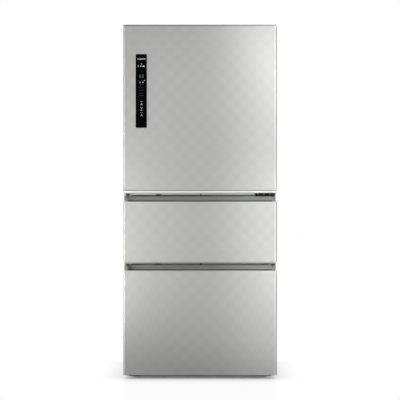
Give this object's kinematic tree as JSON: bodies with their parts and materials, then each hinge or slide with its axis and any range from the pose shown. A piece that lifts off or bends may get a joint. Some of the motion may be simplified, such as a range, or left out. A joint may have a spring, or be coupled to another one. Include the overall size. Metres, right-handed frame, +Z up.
{
  "type": "three-door refrigerator",
  "caption": "Tall silver refrigerator with a swinging upper door, touch panel and pull-out drawers below, on rollers and levelling feet.",
  "frame": {"origin": "on the floor, under the middle of the whole body", "axes": "+Z up, doors face -Y, +X to the right seen from the front"},
  "size_m": [0.8, 0.74, 1.852],
  "materials": {
    "door_silver": "pre-coated silver steel with a faint pressed pattern",
    "cabinet_silver": "satin silver painted steel",
    "rear_sheet": "galvanised steel",
    "galvanised": "galvanised steel",
    "slide_steel": "zinc plated steel",
    "screw_steel": "zinc plated steel",
    "insulation": "rigid polyurethane foam",
    "liner_white": "vacuum formed white plastic",
    "duct_white": "moulded white plastic",
    "plinth_black": "moulded black plastic",
    "hinge_black": "black coated steel",
    "hinge_cover_grey": "moulded grey plastic",
    "trim_bright": "satin anodised aluminium",
    "grip_grey": "moulded grey plastic",
    "gasket_grey": "soft magnetic seal",
    "panel_glass": "black touch panel",
    "board_green": "circuit board",
    "bush_white": "acetal bush",
    "shelf_glass": "tempered glass",
    "clear_plastic": "clear moulded plastic",
    "light_lens": "opal lens",
    "fin_aluminium": "finned coil",
    "fan_plastic": "moulded fan",
    "motor_black": "moulded motor housing",
    "compressor_black": "black enamelled steel",
    "tray_grey": "moulded grey plastic",
    "foot_black": "moulded black plastic",
    "roller_grey": "moulded nylon roller"
  },
  "bodies": {
    "cabinet": {"cabinet_shell": "cabinet_silver", "back_panel": "rear_sheet", "base_pan": "galvanised", "cabinet_foam": "insulation", "fridge_liner": "liner_white", "middle_liner": "liner_white", "freezer_liner": "liner_white", "cross_rails": "cabinet_silver", "kick_plate": "plinth_black", "machine_cover": "galvanised", "top_hinge": "galvanised", "top_hinge_cover": "hinge_cover_grey", "middle_hinge": "hinge_black", "cabinet_screws": "screw_steel", "fridge_duct_cover": "duct_white", "fridge_light": "light_lens", "glass_shelves": "shelf_glass", "shelf_trims": "duct_white", "freezer_duct_cover": "duct_white", "evaporator": "fin_aluminium", "evaporator_fan_motor": "motor_black", "compressor": "compressor_black", "drain_pan": "tray_grey", "outer_rails": "slide_steel"},
    "upper_door": {"upper_door_skin": "door_silver", "upper_door_top_cap": "grip_grey", "upper_door_bottom_trim": "trim_bright", "upper_door_pull": "grip_grey", "upper_door_foam": "insulation", "upper_door_liner": "liner_white", "upper_door_gasket": "gasket_grey", "control_panel": "panel_glass", "control_board": "board_green", "upper_door_bushes": "bush_white", "door_bin_bottom": "clear_plastic", "door_bin_middle": "clear_plastic", "door_bin_top": "clear_plastic"},
    "middle_drawer": {"middle_drawer_skin": "door_silver", "middle_drawer_grip": "grip_grey", "middle_drawer_cap": "grip_grey", "middle_drawer_foam": "insulation", "middle_drawer_liner": "liner_white", "middle_drawer_gasket": "gasket_grey", "middle_basket": "clear_plastic", "middle_rail_inner": "slide_steel"},
    "lower_drawer": {"lower_drawer_skin": "door_silver", "lower_drawer_grip": "grip_grey", "lower_drawer_foam": "insulation", "lower_drawer_liner": "liner_white", "lower_drawer_gasket": "gasket_grey", "lower_basket": "clear_plastic", "lower_rail_inner": "slide_steel"},
    "middle_slide": {"middle_rail_mid": "slide_steel"},
    "lower_slide": {"lower_rail_mid": "slide_steel"},
    "lower_tray": {"lower_tray": "clear_plastic"},
    "evaporator_fan": {"evaporator_fan": "fan_plastic"},
    "left_roller": {"left_rear_roller": "roller_grey"},
    "right_roller": {"right_rear_roller": "roller_grey"},
    "left_foot": {"left_front_foot": "foot_black"},
    "right_foot": {"right_front_foot": "foot_black"}
  },
  "joints": [
    {"name": "upper_door_swing", "type": "hinge", "parent": "cabinet", "child": "upper_door", "pos_m": [0.382, -0.341, 1.4], "axis": [0, 0, 1], "range_deg": [0, 115]},
    {"name": "middle_drawer_slide", "type": "slide", "parent": "cabinet", "child": "middle_drawer", "axis": [0, -1, 0], "range_m": [0, 0.39]},
    {"name": "middle_slide_travel", "type": "slide", "parent": "cabinet", "child": "middle_slide", "axis": [0, -1, 0], "range_m": [0, 0.195]},
    {"name": "lower_drawer_slide", "type": "slide", "parent": "cabinet", "child": "lower_drawer", "axis": [0, -1, 0], "range_m": [0, 0.33]},
    {"name": "lower_slide_travel", "type": "slide", "parent": "cabinet", "child": "lower_slide", "axis": [0, -1, 0], "range_m": [0, 0.165]},
    {"name": "lower_tray_slide", "type": "slide", "parent": "lower_drawer", "child": "lower_tray", "axis": [0, 1, 0], "range_m": [0, 0.15]},
    {"name": "evaporator_fan_spin", "type": "hinge", "parent": "cabinet", "child": "evaporator_fan", "pos_m": [0, 0.117, 0.473], "axis": [0, 1, 0], "continuous": true},
    {"name": "left_roller_spin", "type": "hinge", "parent": "cabinet", "child": "left_roller", "pos_m": [-0.32, 0.31, 0.014], "axis": [1, 0, 0], "continuous": true},
    {"name": "right_roller_spin", "type": "hinge", "parent": "cabinet", "child": "right_roller", "pos_m": [0.32, 0.31, 0.014], "axis": [1, 0, 0], "continuous": true},
    {"name": "left_foot_turn", "type": "hinge", "parent": "cabinet", "child": "left_foot", "pos_m": [-0.34, -0.244, 0.01], "axis": [0, 0, 1], "continuous": true},
    {"name": "right_foot_turn", "type": "hinge", "parent": "cabinet", "child": "right_foot", "pos_m": [0.34, -0.244, 0.01], "axis": [0, 0, 1], "continuous": true}
  ],
  "couplings": [
    {"joint": "middle_slide_travel", "follows": "middle_drawer_slide", "ratio": 0.5},
    {"joint": "lower_slide_travel", "follows": "lower_drawer_slide", "ratio": 0.5}
  ]
}
